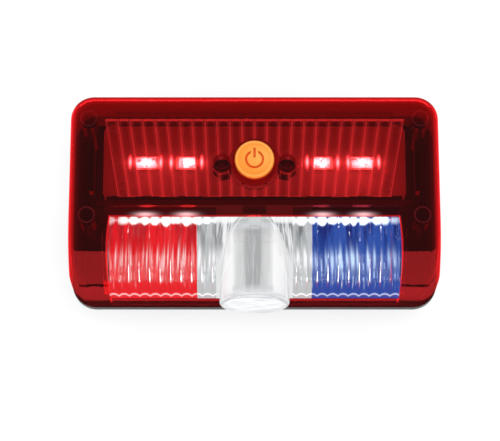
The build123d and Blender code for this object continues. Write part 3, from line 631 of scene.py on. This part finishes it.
def lit_board():
    """White board with a painted wash of light from the emitters on it."""
    t = material("board_white")
    x, y, _ = t.axes
    # x of each pool of light, its brightness
    pools = zip(UPPER_X[:2] + (0.0,) + UPPER_X[2:], (1.0, 1.0, 1.25, 1.35, 1.45))
    light = total([t.spot(x, y, at=(pool_x, 5.5 * MM), width=(6.5 * MM, 5.4 * MM)) * brightness
                   for pool_x, brightness in pools])
    # uneven tone of the board, which also makes the painted wash of light blotchy
    tone_and_painted_light_blotches = t.noise(t.point, scale=130.0, detail=4.0, roughness=0.65)
    wash = (0.080 + light * 0.20) * (0.72 + tone_and_painted_light_blotches * 0.56)
    surface = t.get("BsdfPrincipled", {
        "Base Color": t.mix(tone_and_painted_light_blotches, (0.30, 0.27, 0.26), (0.42, 0.39, 0.37)), "Roughness": 0.45})
    wash_light = t.emit((1.0, 0.72, 0.70), wash * (t.normal[2] > 0.5))
    return t.finish(t.add_shader(surface, wash_light))


def clear_lens():
    t = material("clear_lens")
    tint = (0.97, 0.98, 0.99)
    glass = t.get("BsdfGlass", {"Color": tint, "Roughness": 0.0, "IOR": 1.49})
    return t.finish(t.mix_shader(t.lights_pass(), glass, t.transparent(tint)))


def plastic(name, color, roughness, grain, depth, specular=0.5, vary=0.15):
    """Moulded plastic: grain and depth set its fine bumps, vary its blotches of colour."""
    t = material(name)
    blotches = t.noise(t.point, scale=35.0, detail=3.0)
    blotched = t.mix(blotches, tuple(c * (1 - vary) for c in color),
                     tuple(c * (1 + vary) for c in color))
    uneven = roughness - 0.04 + t.noise(t.point, scale=150.0, detail=3.0) * 0.08
    bumps = t.bump(t.noise(t.point, scale=grain), strength=depth, distance=0.0002)
    return t.finish(t.get("BsdfPrincipled", {
        "Base Color": blotched, "Roughness": uneven, "Normal": bumps,
        "Specular IOR Level": specular}))


def plated_steel():
    t = material("plated_steel")
    color = (0.72, 0.72, 0.74)
    mottle = t.noise(t.point, scale=700.0, detail=4.0, roughness=0.6)
    return t.finish(t.get("BsdfPrincipled", {
        "Base Color": t.mix(mottle, tuple(c * 0.85 for c in color), color),
        "Metallic": 1.0,
        "Roughness": 0.22 + mottle * 0.12,
        "Normal": t.bump(mottle, strength=0.08, distance=0.0002)}))


def emitter(name, color, power, seen, edge, package, faces_up=False):
    """Lit emitter facing +z or -y: it glows beyond the edge plane, its package does not.

    power is the strength met by diffuse rays, seen the strength for all others.
    """
    t = material(name)
    x, y, z = t.axes
    along = z if faces_up else y * -1.0
    grain = t.noise(t.combine(x, y * 0.5, 0.0), scale=1500.0, roughness=0.6)
    look = (0.12 + t.rise(grain, start=0.30, end=0.52)) * seen
    if faces_up:
        # ragged band of light across each emitter
        reach = 0.55 + t.noise(t.combine(x, 0.0, 0.4), scale=900.0, roughness=0.6) * 1.3
        band = t.bell(y, at=9.3 * MM, width=reach * (1.0 * MM))
        ends = total([t.bell(x, at=led_x, width=1.9 * MM) for led_x in UPPER_X])
        look = look * (0.006 + band * ends)
    strength = look + t.ray("Diffuse") * (power - look)
    dark = t.get("BsdfPrincipled", {"Base Color": package, "Roughness": 0.4})
    return t.finish(t.mix_shader(along > edge, dark, t.emit(color, strength)))


FRONT_EMITTER = dict(power=10.0, seen=30.0, edge=3.85 * MM, package=(0.03, 0.025, 0.025))

MATERIALS = {
    "red_shell": red_shell(),
    "clear": clear_lens(),
    "front_lens": front_lens(),
    "upper_lens": upper_lens(),
    "board": lit_board(),
    "silicone": plastic("silicone", (0.55, 0.30, 0.26), roughness=0.5, grain=1500.0, depth=0.05),
    "black": plastic("black_abs", (0.012, 0.012, 0.013), roughness=0.50, grain=1900.0,
                     depth=0.55, specular=0.14, vary=0.3),
    "white": plastic("white_abs", (0.82, 0.82, 0.81), roughness=0.35, grain=2600.0,
                     depth=0.06, vary=0.05),
    "dark_board": plastic("board_dark", (0.045, 0.030, 0.026), roughness=0.4, grain=3000.0,
                          depth=0.05),
    "chip": plastic("chip", (0.03, 0.03, 0.03), roughness=0.3, grain=3000.0, depth=0.05),
    "rubber": plastic("rubber", (0.02, 0.02, 0.02), roughness=0.7, grain=1500.0, depth=0.3),
    "cell": plastic("cell_jacket", (0.06, 0.07, 0.08), roughness=0.25, grain=900.0, depth=0.03),
    "steel": plated_steel(),
    "strip_red": lit_strip(
        "strip_red", base=(0.84, 0.012, 0.018), dark=(0.46, 0.008, 0.014),
        hot=(1.4, 1.2, 1.2), pale=(1.08, 0.80, 0.80), leds=FRONT_RED_X,
        tails=0.55, glints=0.85, streak_width=0.10),
    "strip_blue": lit_strip(
        "strip_blue", base=(0.030, 0.085, 0.40), dark=(0.008, 0.014, 0.15),
        hot=(1.2, 1.35, 1.6), pale=(0.62, 0.82, 1.15), leds=FRONT_BLUE_X,
        tails=0.8, glints=0.95, streak_width=0.17),
    "strip_clear": lit_strip(
        "strip_clear", base=(0.56, 0.58, 0.59), dark=(0.15, 0.16, 0.17),
        hot=(1.2, 1.2, 1.2), pale=(0.98, 0.99, 1.0), leds=(-11.0 * MM, 11.0 * MM),
        tails=1.0, glints=0.95, streak_width=0.17),
    "tray": plastic("tray", (0.20, 0.17, 0.16), roughness=0.5, grain=1500.0, depth=0.1,
                    vary=0.5),
    "button": power_button(),
    "led_upper": emitter("led_red", (1.0, 0.88, 0.88), power=14.0, seen=60.0,
                         edge=TOP - 8.45 * MM, package=(0.80, 0.74, 0.62), faces_up=True),
    "led_front_red": emitter("led_front_red", (1.0, 0.45, 0.40), **FRONT_EMITTER),
    "led_front_blue": emitter("led_front_blue", (0.45, 0.60, 1.0), **FRONT_EMITTER),
    "led_white": emitter("led_white", (1.0, 0.97, 0.9), power=0.6, seen=0.8,
                         edge=4.05 * MM, package=(0.03, 0.03, 0.03)),
}

# Pieces by full name, then by the start of their name; all others are steel
PIECE_MATERIAL = {
    "top_shell": "red_shell",
    "front_lens": "front_lens",
    "spot_guide": "clear",
    "upper_lens": "upper_lens",
    "main_board": "board",
    "front_board": "dark_board",
    "spot_led": "led_white",
    "power_button": "button",
    "button_seal": "silicone",
    "front_reflector": "white",
    "rear_tray": "tray",
    "colour_strip_red": "strip_red",
    "colour_strip_blue": "strip_blue",
    **dict.fromkeys(("clear_strip_left", "clear_strip_right"), "strip_clear"),
    **dict.fromkeys(("cell_front", "cell_rear"), "cell"),
    **dict.fromkeys(("case_gasket", "clip_pad", "board_spacer_left", "board_spacer_right"),
                    "rubber"),
    **dict.fromkeys(("switch_body", "switch_plunger", "base_housing", "battery_door",
                     "clip_bracket", "clip_lever", "light_baffle"), "black"),
}
PREFIX_MATERIAL = {
    "upper_led": "led_upper",
    "front_led_red": "led_front_red",
    "front_led_blue": "led_front_blue",
    "resistor": "chip",
}


def material_key(piece_name):
    if piece_name in PIECE_MATERIAL:
        return PIECE_MATERIAL[piece_name]
    for prefix, key in PREFIX_MATERIAL.items():
        if piece_name.startswith(prefix):
            return key
    return "steel"


for piece_name, piece in PIECES.items():
    piece.data.materials.clear()
    piece.data.materials.append(MATERIALS[material_key(piece_name)])


# ------------------------------------------------------------------ stage
def floor_white():
    """Floor that glows brighter away from the body, less to diffuse and more to glossy rays."""
    t = material("floor_white")
    x, y, _ = t.axes
    level = 0.72 + t.rise(t.radius(x, y), start=0.06, end=0.28) * 0.40
    level = level * (1.0 - t.ray("Diffuse") * 0.75)
    level = level + t.ray("Glossy") * 0.80
    diffuse = t.get("BsdfDiffuse", {"Color": (0.35, 0.35, 0.35)})
    return t.finish(t.add_shader(diffuse, t.emit(WHITE, level)))


def studio_world():
    """White world, dimmer to diffuse rays and dimmest to glossy ones."""
    t = Tree(bpy.data.worlds.new("studio"))
    seen, diffuse, glossy = (t.get("Background", {"Color": WHITE, "Strength": strength})
                             for strength in (1.0, 0.22, 0.10))
    sky = t.mix_shader(t.ray("Diffuse"), seen, diffuse)
    return t.finish(t.mix_shader(t.ray("Glossy"), sky, glossy), kind="OutputWorld")


def area_light(name, location, target, size, power, glossy=True):
    data = bpy.data.lights.new(name, "AREA")
    data.shape = "RECTANGLE"
    data.size, data.size_y = size
    data.energy = power
    light = bpy.data.objects.new(name, data)
    bpy.context.scene.collection.objects.link(light)
    light.location = location
    aim = Vector(target) - Vector(location)
    light.rotation_euler = aim.to_track_quat("-Z", "Y").to_euler()
    light.visible_camera = False
    light.visible_glossy = glossy


def add_camera():
    """Camera in front of the body, looking steeply down at it."""
    elevation = math.radians(73.0)
    distance = 0.48
    target = Vector((0.0, -0.0035, TOP - 0.006))
    data = bpy.data.cameras.new("camera")
    data.sensor_width = 36.0
    data.lens = 147.096
    data.shift_x = -0.009
    data.shift_y = -0.0166
    data.clip_start = 0.01
    camera = bpy.data.objects.new("camera", data)
    bpy.context.scene.collection.objects.link(camera)
    away = Vector((0.0, -math.cos(elevation), math.sin(elevation)))
    camera.location = target + distance * away
    camera.rotation_euler = (math.pi / 2 - elevation, 0.0, 0.0)
    bpy.context.scene.camera = camera


bpy.ops.mesh.primitive_plane_add(size=6.0, location=(0, 0, 0))
floor = bpy.context.object
floor.name = "floor"
floor.data.materials.append(floor_white())

scene = bpy.context.scene
scene.world = studio_world()
area_light("key", location=(0.05, -0.10, 0.60), target=(0, 0, 0.03), size=(0.30, 0.30),
           power=1.6, glossy=False)
area_light("front_card", location=(0, -0.60, 0.29), target=(0, -0.02, 0.03),
           size=(1.7, 0.54), power=5.0)
area_light("rear_strip", location=(0, 0.50, 0.30), target=(0, 0, 0.03), size=(0.9, 0.12),
           power=2.0)
add_camera()

scene.view_settings.view_transform = "Standard"
scene.view_settings.look = "None"
scene.cycles.max_bounces = 16
scene.cycles.transmission_bounces = 14
scene.cycles.transparent_max_bounces = 24
scene.cycles.glossy_bounces = 6
scene.cycles.diffuse_bounces = 3
scene.cycles.sample_clamp_indirect = 60.0
scene.cycles.caustics_reflective = False
scene.cycles.caustics_refractive = False
